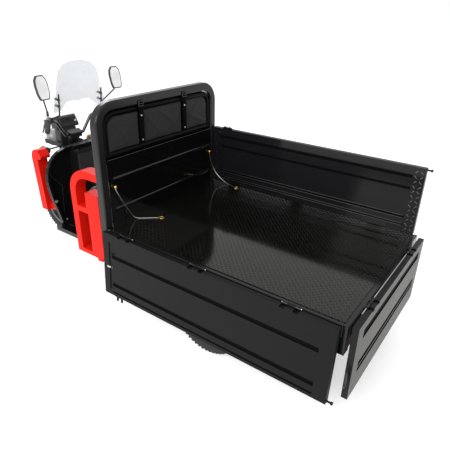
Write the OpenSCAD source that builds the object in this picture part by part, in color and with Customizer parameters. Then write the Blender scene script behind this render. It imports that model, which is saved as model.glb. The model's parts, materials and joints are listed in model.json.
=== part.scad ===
// Electric cargo tricycle with a drop-side load bed.
// X runs forward, Y to the left, Z up; the ground is at Z = 0.

/* [Load bed] */
// Inside length of the load bed
bed_length = 1460; // [1400:10:1500]
// Inside width of the load bed
bed_width = 1000; // [960:10:1040]
// Gap between the rear tyres and the sills above them
sill_gap = 46; // [40:1:80]
// Height of the drop sides and the tailgate
side_height = 400; // [360:5:420]
// Thickness of a drop side
side_thickness = 30; // [28:1:34]
// How far a hanging side leans out from the vertical
side_lean = 4; // [3:0.5:5]
// Depth of the pressed grooves in the sides
groove_depth = 5; // [3:0.5:7]
// Plain strip at each end of a side and of the tailgate
end_strip = 70; // [62:1:90]

/* [Bulkhead] */
// Height of the arch above the bed floor
arch_height = 713; // [690:1:740]
// How far the arch stands out past the inside of the bed
arch_over = 24; // [20:1:30]
// Side of the arch's square tube
arch_tube = 52; // [48:1:54]
// Outer radius of the arch's bends
arch_bend = 130; // [110:5:150]

/* [Wheels] */
// Outer radius of the tyres
tyre_radius = 240; // [232:1:246]
// Width of the tyres
tyre_width = 95; // [88:1:98]
// Distance of a rear wheel from the middle plane
rear_track_half = 435; // [430:1:440]
// Distance between the front and rear axles
wheelbase = 1875; // [1865:1:1885]

/* [Steering] */
// Lean of the steering axis from the vertical
rake = 22.4; // [21.5:0.1:23.5]
// Distance of a fork leg from the middle plane
fork_half = 86; // [84:1:92]
// Radius of the handlebar tube
bar_radius = 11; // [10:0.5:12.5]

/* [Cab] */
// Half width of the foot floor
foot_half = 345; // [330:1:360]
// Half width of the seat cushion
seat_half = 360; // [330:5:380]
// Half width of the seat box
box_half = 330; // [310:5:340]
// Thickness of the seat cushion
seat_thickness = 94; // [80:1:105]

/* [Hidden] */
$fn = 48;

// Places that follow from the sizes
bed_front = 45;
bed_rear = bed_front - bed_length;
bed_half = bed_width / 2;
floor_height = 2 * tyre_radius + sill_gap + 64;
deck = floor_height - 4;
sill_low = deck - 60;
sill_out = bed_half + 20;
rib_low = deck - 40;
rail_low = rib_low - 60;
hinge_y = bed_half + side_thickness;
hinge_z = floor_height - 2;
gate_x = bed_rear - side_thickness - 5;
arch_half = bed_half + arch_over;
guard_out = arch_half - 4;
guard_in = guard_out - 75;
arch_front = bed_front + arch_tube;
arch_top = floor_height + arch_height;
arch_in = arch_half - arch_tube;
panel_top = floor_height + 396;
rest_low = floor_height + 411;
low_top = 290;
low_low = 250;
pan_top = low_top + 4;
axle_z = tyre_radius;
spring_y = rear_track_half - 145;
front_x = 1230;
rear_x = front_x - wheelbase;
shield_x = 836;
seat_low = deck + 20;
seat_front = arch_front + 323;

// Tables of like pieces
// hinges of a drop side: share of the bed length behind the front
hinge_share = [0.118, 0.472, 0.838];
// hinges of the tailgate: share of the half width
gate_share = [0.6, -0.6];
// ribs under the floor: share of the bed length behind the front
rib_share = [0.14, 0.36, 0.58, 0.80];
// grooves of a drop side: share of the height from, to
left_groove = [[0.315, 0.375], [0.78, 0.84], [0.93, 0.955]];
right_groove = [[0.095, 0.125], [0.21, 0.255], [0.66, 0.70], [0.83, 0.88]];
// grooves of the tailgate: share of the height from, to
gate_groove = [[0.12, 0.24], [0.57, 0.64], [0.66, 0.72]];
// cross members of the low frame: front edge
low_cross_x = [440, 640, 850];
// routes of the stay cables, from the anchor down to the floor
left_points = [[33, 440, 812], [32, 436, 800], [29, 424, 770], [26, 408, 736], [22, 391, 702],
  [18, 374, 668], [14, 357, 636], [11, 344, 614], [7, 334, 602], [1, 325, 596], [-8, 317, 593.8],
  [-20, 307, 593.4], [-38, 291, 593.4], [-56, 275, 593.4], [-74, 259, 593.4], [-92, 243, 593.4]];
right_points = [[33, -440, 812], [33, -445, 790], [33, -452, 766], [32.5, -461, 742],
  [31, -471, 718], [27, -480, 695], [19, -485, 673], [7, -487, 655], [-9, -488, 641],
  [-27, -488, 629], [-46, -488, 618], [-66, -487, 608], [-86, -486, 600.5], [-106, -485, 595.8],
  [-124, -484, 593.9], [-138, -481.5, 593.4], [-152, -477, 593.4], [-166, -472, 593.4]];
left_route = [for (q = left_points) q + [0, bed_half - 500, floor_height - 590]];
right_route = [for (q = right_points) q - [0, bed_half - 500, 590 - floor_height]];

// Helpers

// rounded rectangle about the origin
module rrect(w, h, r) {
  square([w - 2 * r, h], center = true);
  square([w, h - 2 * r], center = true);
  for (x = [-1, 1], y = [-1, 1])
    translate([x * (w / 2 - r), y * (h / 2 - r)]) circle(r);
}

// box between two corners
module box(a, b) {
  translate(a) cube(b - a);
}

// pair of boxes, left and right
module boxes(a, b) {
  box(a, b);
  mirror([0, 1, 0]) box(a, b);
}

// round bar between two points
module bar(a, b, r) {
  d = b - a;
  translate(a) rotate([0, acos(d[2] / norm(d)), atan2(d[1], d[0])])
    cylinder(r = r, h = norm(d));
}

// round bar through a row of points
module pipe(p, r) {
  for (i = [0 : len(p) - 2]) bar(p[i], p[i + 1], r);
  for (i = [1 : len(p) - 2]) translate(p[i]) sphere(r * 1.03);
}

// shape drawn in X and Z, spread over Y from y0 to y1
module xz(y0, y1) {
  translate([0, y1, 0]) rotate([90, 0, 0]) linear_extrude(y1 - y0) children();
}

// body of turning, its axis along Y at a wheel's middle
module turned(x, y) {
  translate([x, y, axle_z]) rotate([-90, 0, 0]) rotate_extrude($fn = 96) children();
}

// places in the steering frame: the front axle is the origin
module steer() {
  translate([front_x, 0, axle_z]) rotate([0, -rake, 0]) children();
}
function st(x, y, t) = [front_x + x * cos(rake) - t * sin(rake), y,
  axle_z + x * sin(rake) + t * cos(rake)];

// tube swept along a row of points
function unit(v) = v / norm(v);
function heading(p, i) = unit(p[min(i + 1, len(p) - 1)] - p[max(i - 1, 0)]);
function across(t) = unit(cross(t, [0.13, 0.21, 0.97]));
function ring_at(p, i, r, n) = let (t = heading(p, i), a = across(t), b = cross(t, a))
  [for (k = [0 : n - 1]) p[i] + r * (cos(360 * k / n) * a + sin(360 * k / n) * b)];
module cord(p, r, n) {
  m = len(p);
  pts = [for (i = [0 : m - 1]) each ring_at(p, i, r, n)];
  sides = [for (i = [0 : m - 2], k = [0 : n - 1], j = [0, 1]) j == 0
    ? [i * n + k, i * n + (k + 1) % n, (i + 1) * n + (k + 1) % n]
    : [i * n + k, (i + 1) * n + (k + 1) % n, (i + 1) * n + k]];
  ends = [[for (k = [n - 1 : -1 : 0]) k], [for (k = [0 : n - 1]) (m - 1) * n + k]];
  polyhedron(points = pts, faces = [for (f = concat(sides, ends))
    [for (j = [len(f) - 1 : -1 : 0]) f[j]]], convexity = 6);
}

// Load bed

module bed_floor() {
  color("DimGray") box([bed_rear, -bed_half, deck], [bed_front, bed_half, floor_height]);
}

module bed_side_sills() {
  color("Black") boxes([bed_rear, bed_half - 40, sill_low], [bed_front, sill_out, deck]);
}

module bed_cross_sills() {
  color("Black") {
    box([bed_front, -arch_half, sill_low], [arch_front, arch_half, deck]);
    box([bed_rear - 22, -sill_out, sill_low], [bed_rear, sill_out, deck]);
  }
}

module bed_ribs() {
  color("Black") for (s = rib_share)
    translate([bed_front - s * bed_length, 0, 0])
      box([-20, 40 - bed_half, rib_low], [20, bed_half - 40, deck]);
}

module main_rails() {
  color("Black") boxes([bed_rear, spring_y - 20, rail_low],
    [bed_front, spring_y + 20, rib_low]);
}

module corner_brackets() {
  color("Black") boxes([bed_rear - 22, bed_half - 30, sill_low - 95],
    [bed_rear + 20, sill_out, sill_low]);
}

// one drop side, closed: its hinge line is the X axis, the bed is on the -Y side
module side_leaf(len_x, cuts, knuckles, low) {
  difference() {
    union() {
      box([-len_x / 2, -side_thickness, low], [len_x / 2, 0, side_height + low]);
      for (k = knuckles) translate([k, 0, 0]) rotate([0, 90, 0])
        cylinder(r = 7, h = 40, center = true);
    }
    for (c = cuts) box([-len_x / 2 + end_strip, -side_thickness - 1, low + c[0] * side_height],
      [len_x / 2 - end_strip, groove_depth - side_thickness, low + c[1] * side_height]);
    for (k = knuckles) translate([k, 0, 0]) {
      rotate([0, 90, 0]) cylinder(r = 4.06, h = 60, center = true);
      for (s = [-1, 1]) translate([s * 34, 0, 0])
        box([-13, -side_thickness - 1, low - 1], [13, 1, 12.5]);
    }
  }
}

side_span = bed_length - 8;
side_mid = bed_front - 6 - side_span / 2;
side_knuckles = [for (s = hinge_share) bed_front - s * bed_length - side_mid];

// pockets at the front end of a side: from the end, to, share of the height from, to
pockets = [[46, 62, 0.13, 0.9], [62, 100, 0.14, 0.3], [62, 100, 0.64, 0.82]];

// one side with its latch pin at the rear end, its clip on the free edge and a
// tie rail along its outer face
module drop_side(grooves, stud) {
  edge = side_height + 4;
  mid = -side_thickness / 2;
  difference() {
    side_leaf(side_span, grooves, side_knuckles, 4);
    for (k = pockets) box([side_span / 2 - k[1], -side_thickness - 1, 4 + k[2] * side_height],
      [side_span / 2 - k[0], groove_depth - side_thickness, 4 + k[3] * side_height]);
  }
  translate([-side_span / 2, mid, edge - 10]) rotate([0, -90, 0]) {
    translate([0, 0, -1]) cylinder(r = 5, h = 24);
    translate([0, 0, 20]) cylinder(r = 8, h = 9);
  }
  translate([side_span / 2 - 108, mid, edge - 1]) {
    box([-34, -9, 0], [34, 9, 9]);
    for (x = [-18, 18]) translate([x, 0, 8]) cylinder(r = 6.5, h = stud);
  }
  rail = 0.9 * side_height;
  reach = side_span / 2 - 120;
  bar([-reach, 18, rail], [reach, 18, rail], 8);
  for (k = [-0.9, -0.3, 0.3, 0.9]) bar([k * reach, -1, rail], [k * reach, 18, rail], 6);
}

module left_panel() {
  color("Black") translate([side_mid, hinge_y, hinge_z])
    rotate([180 + side_lean, 0, 0]) drop_side(left_groove, 30);
}

module right_panel() {
  color("Black") translate([side_mid, -hinge_y, hinge_z]) rotate([0, 0, 180])
    mirror([1, 0, 0]) drop_side(right_groove, 6);
}

module tailgate_panel() {
  color("Black") translate([gate_x, 0, hinge_z]) rotate([0, 180, 0]) rotate([0, 0, 90])
    side_leaf(bed_width, gate_groove, [for (s = gate_share) s * bed_half], 4);
}

// fixed half of a hinge: two knuckles on one leaf with the pin
module hinge_fixed(reach) {
  for (s = [-1, 1]) translate([s * 33, 0, 0]) {
    rotate([0, 90, 0]) cylinder(r = 7, h = 24, center = true);
    box([-12, -reach, -12], [12, -2, -2]);
  }
  rotate([0, 90, 0]) cylinder(r = 4, h = 90, center = true);
}

module bed_hinges() {
  color("Silver") {
    for (s = hinge_share, m = [0, 1]) mirror([0, m, 0])
      translate([bed_front - s * bed_length, hinge_y, hinge_z]) hinge_fixed(hinge_y - sill_out);
    for (s = gate_share) translate([gate_x, s * bed_half, hinge_z]) rotate([0, 0, 90])
      hinge_fixed(bed_rear - 22 - gate_x);
  }
}

// Bulkhead

module bulkhead_arch() {
  c = arch_bend - arch_tube / 2;
  x = bed_front + arch_tube / 2;
  z = arch_top - arch_bend;
  y = arch_half - arch_bend;
  color("Black") {
    for (s = [-1, 1]) {
      translate([x, s * (arch_half - arch_tube / 2), deck]) linear_extrude(z - deck)
        rrect(arch_tube, arch_tube, 9);
      translate([x, s * y, z]) rotate([0, 0, s > 0 ? 0 : 180]) rotate([90, 0, 90])
        rotate_extrude(angle = 90) translate([c, 0]) rrect(arch_tube, arch_tube, 9);
    }
    translate([x, y, arch_top - arch_tube / 2]) rotate([90, 0, 0]) linear_extrude(2 * y)
      rrect(arch_tube, arch_tube, 9);
  }
}

module bulkhead_panel() {
  y = arch_in - 0.4;
  color("Black") {
    box([bed_front, -y, deck], [bed_front + 4, y, panel_top]);
    box([bed_front, -y, panel_top - 26], [bed_front + 30, y, panel_top]);
    for (h = [95, 281]) translate([bed_front + 2, 0, floor_height + h]) rotate([90, 0, 0])
      cylinder(r = 9, h = 2 * y - 60, center = true);
  }
}

rest_x = bed_front + 26;
rest_tube = 10;
rest_half = arch_in - rest_tube - 4;
rest_top = arch_top - arch_tube - rest_tube - 5;
rest_bend = min(80, floor((rest_top - rest_low) / 3));
strap_y = 190;
module backrest_frame() {
  r = rest_tube;
  color("Black") translate([rest_x, 0, 0]) {
    for (s = [-1, 1]) {
      translate([0, s * rest_half, rest_low]) cylinder(r = r, h = rest_top - rest_bend - rest_low);
      translate([0, s * (rest_half - rest_bend), rest_top - rest_bend])
        rotate([0, 0, s > 0 ? 0 : 180]) rotate([90, 0, 90])
          rotate_extrude(angle = 90) translate([rest_bend, 0]) circle(r);
      for (z = [0.18, 0.84] * (rest_top - rest_bend - rest_low))
        bar([0, s * rest_half, rest_low + z], [0, s * arch_in, rest_low + z], 7);
    }
    for (z = [rest_low, rest_top]) bar(
      [0, z == rest_low ? -rest_half - 6 : rest_bend - rest_half, z],
      [0, z == rest_low ? rest_half + 6 : rest_half - rest_bend, z], z == rest_low ? r - 0.8 : r);
  }
}

module backrest_pads() {
  edge = rest_half - rest_tube - 0.3;
  low = rest_low + rest_tube + 0.3;
  high = rest_top - rest_tube - 0.3;
  r = rest_bend - rest_tube - 0.3;
  color("DimGray") for (p = [[-edge, -strap_y - 0.5], [0.5 - strap_y, strap_y - 0.5],
    [strap_y + 0.5, edge]])
    translate([rest_x - 18, 0, 0]) rotate([90, 0, 90]) linear_extrude(36) intersection() {
      translate([p[0], low]) square([p[1] - p[0], high - low]);
      union() {
        translate([-edge, low]) square([2 * edge, high - low - r]);
        translate([r - edge, low]) square([2 * (edge - r), high - low]);
        for (s = [-1, 1]) translate([s * (edge - r), high - r]) circle(r);
      }
    }
}

module backrest_straps() {
  long = arch_top - 26 - rest_low - 30;
  color("DimGray") for (s = [-1, 1]) translate([bed_front - 3, s * strap_y, rest_low + 30]) {
    box([0, -17, 0], [3, 17, long]);
    box([-5, -21, long - 34], [0.5, 21, long - 4]);
  }
}

module stay_anchors() {
  color("Goldenrod") for (s = [-1, 1]) translate([33, s * (bed_half - 60), floor_height + 236]) {
    rotate([0, 90, 0]) cylinder(r = 4, h = bed_front - 33);
    sphere(9);
    translate([0, 0, -13.5]) cylinder(r = 4.5, h = 12);
  }
}

module stay_cables() {
  color("Silver") {
    cord(left_route, 2.5, 8);
    cord(right_route, 2.5, 8);
  }
}

// ring at the free end, with the sleeve that the cable ends in
module stay_ring(route) {
  end = route[len(route) - 1];
  way = end - route[len(route) - 2];
  translate(end) rotate([0, 0, atan2(way[1], way[0])]) {
    translate([0.4, 0, 0]) rotate([0, 90, 0]) cylinder(r = 3.2, h = 12);
    translate([26, 0, 0]) rotate_extrude() translate([14, 0]) circle(2.6);
  }
}

module stay_rings() {
  color("Goldenrod") {
    stay_ring(left_route);
    stay_ring(right_route);
  }
}

// Frame, cab and seat

// low rails of the cab, each turned up at its rear end to the bed
module low_rails() {
  color("Black") for (m = [0, 1]) mirror([0, m, 0]) {
    box([arch_front, 260, low_low], [850, 300, low_top]);
    box([arch_front, 260, low_low], [arch_front + 40, 300, deck]);
  }
}

module low_crossmembers() {
  color("Black") for (x = low_cross_x)
    box([x - 40, -260, low_low], [x, 260, low_top]);
}

module head_tube() {
  a = st(-80, 0, 375);
  b = st(-25, 0, 420);
  c = st(-25, 0, 530);
  d = st(-70, 0, 530);
  color("Black") difference() {
    union() {
      xz(-30, 30) polygon([[850, low_low], [900, low_low], [a[0], a[2]], [b[0], b[2]],
        [c[0], c[2]], [d[0], d[2]], [850, low_top + 10]]);
      steer() translate([0, 0, 372]) cylinder(r = 32, h = 186);
      box([shield_x + 6, -14, 630], [950, 14, 660]);
    }
    steer() translate([0, 0, 300]) cylinder(r = 20.05, h = 320);
  }
}

module foot_floor() {
  color("Black") {
    box([arch_front + 42, -foot_half, low_top], [shield_x + 6, foot_half, pan_top]);
    boxes([arch_front + 42, foot_half - 4, low_low + 12], [shield_x + 6, foot_half, pan_top]);
    for (i = [-3 : 3]) box([seat_front + 20, i * 88 - 9, pan_top - 1],
      [shield_x - 36, i * 88 + 9, pan_top + 3]);
  }
}

// outline of the leg shield, drawn in Y and Z: half width, height above the foot floor
shield_side = [[297, 0], [304, 22], [328, 122], [356, 230], [369, 310], [372, 350], [366, 405],
  [352, 448], [330, 487], [298, 519], [258, 543], [205, 558], [130, 566]];
shield_top = 566;
module shield_shape(d) {
  n = len(shield_side);
  half = [for (q = shield_side) [q[0] - d, min(max(q[1], d), shield_top - d)]];
  polygon(concat(half, [for (i = [n - 1 : -1 : 0]) [-half[i][0], half[i][1]]]));
}
module leg_shield() {
  color("Black") translate([shield_x, 0, pan_top]) rotate([90, 0, 90]) {
    linear_extrude(6) shield_shape(0);
    translate([0, 0, -24]) linear_extrude(26) difference() {
      shield_shape(0);
      shield_shape(18);
    }
    translate([0, shield_top - 20, -52]) linear_extrude(54) square([300, 40], center = true);
    // glovebox with its lid
    translate([0, shield_top - 120, -82]) linear_extrude(84) rrect(310, 190, 18);
    translate([0, shield_top - 132, -90]) linear_extrude(9) rrect(290, 150, 14);
  }
}

module seat_box() {
  color("Black") difference() {
    box([arch_front + 44, -box_half, pan_top], [seat_front, box_half, seat_low]);
    box([arch_front + 47, 3 - box_half, pan_top + 3], [seat_front - 3, box_half - 3, seat_low + 1]);
  }
}

module battery() {
  color("SlateGray") box([arch_front + 70, 80 - box_half, pan_top + 3],
    [seat_front - 25, box_half - 80, seat_low - 86]);
}

module seat_cushion() {
  color("DimGray") translate([arch_front + 18 + 165, 0, seat_low]) linear_extrude(seat_thickness)
    rrect(330, 2 * seat_half, 40);
}

// guard beside the front wheel: a leaning post, turned back at its top
module front_guard() {
  xz(268, 345) polygon([[985, 395], [1010, 785], [1003, 816], [985, 838], [958, 848],
    [934, 842], [898, 804], [904, 786], [944, 774], [920, 395]]);
  box([shield_x + 6, 222, 395], [930, 306, 440]);
}
module front_guards() {
  color("Red") for (m = [0, 1]) mirror([0, m, 0]) front_guard();
}

// guard between the arch and the foot floor: a rounded loop with a rung
module side_guard() {
  reach = 253;
  bend = 150;
  band = 48;
  top = deck + 320;
  low = pan_top + 50;
  rung = deck + 65;
  post = 121;
  xz(guard_in, guard_out) translate([arch_front, 0]) difference() {
    union() {
      translate([0, low]) square([reach, top - bend - low]);
      translate([0, low]) square([reach - bend, top - low]);
      translate([reach - bend, top - bend]) circle(bend, $fn = 72);
    }
    translate([-reach, low - 1]) square([reach, top - low + 2]);
    translate([-1, low - 1]) square([7, top - 134 - low]);
    intersection() {
      union() {
        translate([-1, top - 136]) square([reach, 136]);
        translate([post, rung + 17]) square([reach - post, top - rung - 17]);
      }
      union() {
        translate([-1, low]) square([reach - band + 1, top - bend - low]);
        translate([-1, low]) square([reach - bend + 1, top - band - low]);
        translate([reach - bend, top - bend]) circle(bend - band, $fn = 72);
      }
    }
    translate([post - 9, low + 28]) square([reach - band - post + 9, rung - 17 - low - 28]);
  }
  translate([arch_front, 0, 0]) {
    box([110, guard_in, low_low + 20], [150, guard_in + 15, low + 12]);
    box([110, foot_half, low_low + 20], [150, guard_in + 15, low_top]);
  }
}
module side_guards() {
  color("Red") for (m = [0, 1]) mirror([0, m, 0]) side_guard();
}

// Rear axle and springs

module rear_axle() {
  color("DimGray") translate([rear_x, 0, axle_z]) {
    rotate([90, 0, 0]) cylinder(r = 28, h = 2 * rear_track_half - 114, center = true);
    sphere(105);
    rotate([0, 90, 0]) cylinder(r = 60, h = 110);
    translate([-30, 0, 0]) rotate([0, 90, 0]) cylinder(r = 112, h = 14);
    for (s = [-1, 1]) {
      translate([0, s * spring_y, 0]) box([-40, -28, 0], [40, 28, 34]);
      translate([0, s * (rear_track_half - 61), 0]) rotate([90, 0, 0])
        cylinder(r = 95, h = 8, center = true);
      translate([0, s * (rear_track_half - 60), 0]) rotate([-90 * s, 0, 0])
        cylinder(r = 15, h = 82);
    }
  }
}

module drive_motor() {
  color("Silver") translate([rear_x + 110, 0, axle_z]) rotate([0, 90, 0]) {
    cylinder(r = 76, h = 220);
    for (i = [0 : 8]) translate([0, 0, 32 + 18 * i]) cylinder(r = 86, h = 8);
  }
}

// leaves of a spring: half length, from the lowest one up
leaf_half = [130, 200, 270, 340];
leaf_round = 1100;
leaf_turn = [for (h = leaf_half) h / leaf_round * 180 / PI];
function on_leaf(a, r) = [r * sin(a), leaf_round - r * cos(a)];
leaf_top = [for (k = [-8 : 8]) on_leaf(leaf_turn[3] * k / 8, leaf_round - 32)];
leaf_steps = [for (i = [3 : -1 : 0], k = [0 : 4])
  let (next = i > 0 ? leaf_turn[i - 1] : 0)
  on_leaf(leaf_turn[i] + (next - leaf_turn[i]) * k / 4, leaf_round - 8 * i)];
leaf_back = [for (k = [len(leaf_steps) - 2 : -1 : 0]) [-leaf_steps[k][0], leaf_steps[k][1]]];
module leaf_springs() {
  eye = on_leaf(leaf_turn[3], leaf_round - 28);
  color("Black") for (s = [-1, 1]) translate([rear_x, s * spring_y, axle_z + 34.3]) {
    xz(-25, 25) polygon(concat(leaf_top, leaf_steps, leaf_back));
    for (e = [-1, 1]) translate([e * eye[0], 0, eye[1]]) {
      rotate([90, 0, 0]) cylinder(r = 14, h = 52, center = true);
      box([-16, -20, -2], [16, 20, rail_low - axle_z - 34.3 - eye[1]]);
    }
  }
}

module rear_mudguards() {
  r = tyre_radius + 36;
  color("Black") for (m = [0, 1]) mirror([0, m, 0]) translate([rear_x, 0, 0]) {
    translate([0, rear_track_half + 13, axle_z]) rotate([90, -15, 0])
      rotate_extrude(angle = 150, $fn = 96) translate([r, -74]) square([3, 148]);
    box([-25, min(rear_track_half, bed_half - 35), axle_z + r + 1], [25, bed_half + 15, sill_low]);
  }
}

module tail_lamps() {
  color("Red") boxes([bed_rear - 20, bed_half - 110, sill_low - 85],
    [bed_rear + 10, bed_half - 30, sill_low - 20]);
}

// Steering

module fork() {
  color("Silver") {
    steer() {
      for (s = [-1, 1]) translate([0, s * fork_half, 0]) {
        translate([0, 0, -28]) cylinder(r = 23, h = 320);
        cylinder(r = 16, h = 620);
      }
      rotate([90, 0, 0]) cylinder(r = 10, h = 2 * fork_half, center = true);
      translate([0, 0, 326]) linear_extrude(36) rrect(60, 2 * fork_half + 50, 22);
      translate([0, 0, 566]) linear_extrude(26) rrect(60, 2 * fork_half + 44, 22);
      translate([0, 0, 340]) cylinder(r = 20, h = 240);
      difference() {
        union() {
          for (s = [-1, 1]) translate([0, s * 34, 580]) cylinder(r = 13, h = 110);
          translate([-24, -52, 682]) cube([48, 104, 44]);
        }
        translate([0, 0, 704]) rotate([90, 0, 0]) cylinder(r = bar_radius + 0.05, h = 200, center = true);
      }
    }
    a = st(20, 0, 588);
    xz(-16, 16) polygon([[a[0] - 8, a[2] - 6], [a[0] + 22, a[2] + 4], [1072, 925], [1040, 925]]);
    for (s = [-1, 1]) {
      p = st(0, s * fork_half, 596);
      translate([p[0], s * (fork_half + 1), p[2]])
        box([-6, -4, 2], [lamp_at[0] - p[0] - 16, 4, 34]);
    }
  }
}

bar_mid = st(0, 0, 704);
bar_left = [bar_mid, bar_mid + [0, 78, 0], bar_mid + [-14, 150, 110], [910, 232, 1046],
  [774, 341, 1000]];
function flip(p) = [for (q = p) [q[0], -q[1], q[2]]];

module handlebar() {
  color("Silver") {
    bar(flip([bar_left[1]])[0], bar_left[1], bar_radius);
    for (p = [bar_left, flip(bar_left)]) {
      pipe([for (i = [1 : 4]) p[i]], bar_radius);
      translate(p[1]) sphere(bar_radius * 1.03);
      translate(p[3]) cylinder(r = 8, h = 1064 - p[3][2]);
      q = p[3] + 0.14 * (p[4] - p[3]);
      bar(q - 0.05 * (p[4] - p[3]), q + 0.1 * (p[4] - p[3]), 17);
      bar(q, q + [42, 0, -6], 8);
      bar(q + [38, 0, -6], p[4] + [50, 0, -10], 5.5);
    }
  }
}

module grips() {
  color("Black") for (p = [bar_left, flip(bar_left)]) {
    a = p[3] + 0.3 * (p[4] - p[3]);
    b = p[4] + 0.02 * (p[4] - p[3]);
    difference() {
      bar(a, b, 17);
      bar(p[3], p[4] + 0.005 * (p[4] - p[3]), bar_radius + 0.3);
    }
  }
}

lamp_at = [1232, 0, 818];
lamp_radius = 66;
module headlamp() {
  color("White") translate(lamp_at) {
    difference() {
      sphere(lamp_radius);
      box([0, -90, -90], [90, 90, 90]);
      translate([-6, 0, 0]) rotate([0, 90, 0]) cylinder(r = lamp_radius - 7.6, h = 10);
    }
    for (s = [-1, 1]) translate([-30, s * 48, 0]) rotate([-90 * s, 0, 0])
      cylinder(r = 9, h = fork_half - 3 - 48);
  }
}

module headlamp_lens() {
  color("White") translate(lamp_at) intersection() {
    translate([-5.7, 0, 0]) rotate([0, 90, 0]) cylinder(r = lamp_radius - 8, h = 40);
    translate([-180, 0, 0]) sphere(198, $fn = 200);
  }
}

module dash() {
  color("Black") xz(-98, 98) polygon([[1026, 925], [1026, 946], [1062, 1006], [1078, 1008],
    [1102, 985], [1098, 925]]);
}

// outline of the windscreen: half width, height
screen_low = 1090;
screen_side = [[96, 60], [150, 10], [205, 0], [220, 14], [214, 60], [190, 120], [178, 190],
  [170, 235], [150, 280], [115, 310], [60, 327], [0, 330]];
screen_x = 884;
module windscreen() {
  n = len(screen_side);
  color("LightBlue") translate([screen_x, 0, screen_low]) rotate([0, -7, 0]) difference() {
    intersection() {
      translate([-900, 0, 0]) difference() {
        cylinder(r = 900, h = 400, $fn = 96);
        translate([0, 0, -1]) cylinder(r = 896, h = 402, $fn = 96);
      }
      translate([-60, 0, 0]) rotate([90, 0, 90]) linear_extrude(80)
        polygon(concat([for (i = [0 : n - 1]) screen_side[i]],
          [for (i = [n - 2 : -1 : 0]) [-screen_side[i][0], screen_side[i][1]]],
          [[-40, 60], [0, 54], [40, 60]]));
    }
    for (s = [-1, 1], z = [45, 90]) translate([0, s * 180, z]) rotate([0, 90, 0])
      cylinder(r = 3.4, h = 100, center = true);
  }
}

module screen_rods() {
  color("Black") for (s = [-1, 1]) {
    translate([screen_x, 0, screen_low]) rotate([0, -7, 0]) {
      for (z = [45, 90]) translate([0, s * 180, z]) {
        translate([-34, 0, 0]) rotate([0, 90, 0]) cylinder(r = 3, h = 28);
        translate([-9, 0, 0]) rotate([0, 90, 0]) cylinder(r = 9, h = 9);
      }
      bar([-38, s * 180, 130], [-38, s * 180, 30], 5.5);
      for (z = [45, 90]) translate([-40, s * 180, z]) rotate([0, 90, 0]) cylinder(r = 9, h = 14);
    }
    top = [screen_x - 38 * cos(7) - 30 * sin(7), s * 180, screen_low - 38 * sin(7) + 30 * cos(7)];
    clip = bar_left[2] + 0.66 * (bar_left[3] - bar_left[2]);
    way = 12 * unit(bar_left[3] - bar_left[2]);
    seat = [clip[0], s * clip[1], clip[2]];
    turn = [way[0], s * way[1], way[2]];
    difference() {
      union() {
        pipe([top, [846, s * 184, 1070], seat + [-6, 0, 8]], 5.5);
        translate(top) sphere(5.7);
        bar(seat - turn, seat + turn, bar_radius + 6);
      }
      bar(seat - 2 * turn, seat + 2 * turn, bar_radius + 0.3);
    }
  }
}

// a mirror's outline, drawn in Y and Z
module mirror_shape() {
  polygon([[22, 78], [40, 54], [46, 20], [43, -40], [34, -70], [26, -77],
    [-26, -77], [-34, -70], [-43, -40], [-46, 20], [-40, 54], [-22, 78]]);
}
module at_mirror(s) {
  translate([800, s * 306, 1275]) rotate([0, 12, s * 4]) rotate([90, 0, 90]) children();
}
module mirrors() {
  color("Black") for (s = [-1, 1]) {
    pipe([[910, s * 232, 1064], [910, s * 232, 1092], [826, s * 300, 1190],
      [815, s * 304, 1250]], 5);
    at_mirror(s) difference() {
      translate([0, 0, 4]) linear_extrude(20) mirror_shape();
      translate([0, 0, 3]) linear_extrude(6) scale(0.92) mirror_shape();
    }
  }
}

module mirror_glass() {
  color("LightGray") for (s = [-1, 1])
    at_mirror(s) translate([0, 0, 5]) linear_extrude(4) scale(0.91) mirror_shape();
}

module front_mudguard() {
  r = tyre_radius + 22;
  color("Black") {
    translate([front_x, 0, axle_z]) rotate([90, -10, 0])
      rotate_extrude(angle = 170, $fn = 96) translate([r, -54]) square([3, 108]);
    steer() box([-16, -22, r + 0.5], [16, 22, 326]);
  }
}

module front_indicators() {
  color("DimGray") for (s = [-1, 1]) {
    p = st(0, 0, 596);
    translate([p[0] + 40, s * (fork_half + 5), p[2] + 4]) rotate([-90 * s, 0, 0])
      cylinder(r = 6, h = 100);
    translate([p[0] + 10, s * 212, p[2] + 4]) rotate([0, 90, 0]) cylinder(r = 26, h = 62);
  }
}

// Wheels

module rim(x, y, side, bore) {
  color("Silver") difference() {
    turned(x, y) {
      translate([140, -tyre_width / 2 + 6]) square([12, tyre_width - 12]);
      for (s = [-1, 1]) translate([140, s * (tyre_width / 2 - 7.5) - 2.5]) square([24, 5]);
      translate([bore, side * 12 - 4]) square([130, 8]);
      translate([bore, -42]) square([22, 84]);
      translate([98, side > 0 ? -44 : -10]) square([12, 54]);
    }
    for (k = [0 : 7]) translate([x, y, axle_z]) rotate([0, 45 * k, 0]) translate([126, 0, 0])
      rotate([90, 0, 0]) cylinder(r = 10, h = 60, center = true);
  }
}

module tyre(x, y) {
  color("Black") turned(x, y) {
    translate([tyre_radius - 40, 0]) rrect(80, tyre_width, 30);
    translate([152.4, -tyre_width / 2 + 11]) square([40, tyre_width - 22]);
  }
}

module front_rim() {
  rim(front_x, 0, 1, 10.06);
}
module front_tyre() {
  tyre(front_x, 0);
}
module rear_rim_left() {
  rim(rear_x, rear_track_half, 1, 15.06);
}
module rear_tyre_left() {
  tyre(rear_x, rear_track_half);
}
module rear_rim_right() {
  rim(rear_x, -rear_track_half, -1, 15.06);
}
module rear_tyre_right() {
  tyre(rear_x, -rear_track_half);
}

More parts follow.
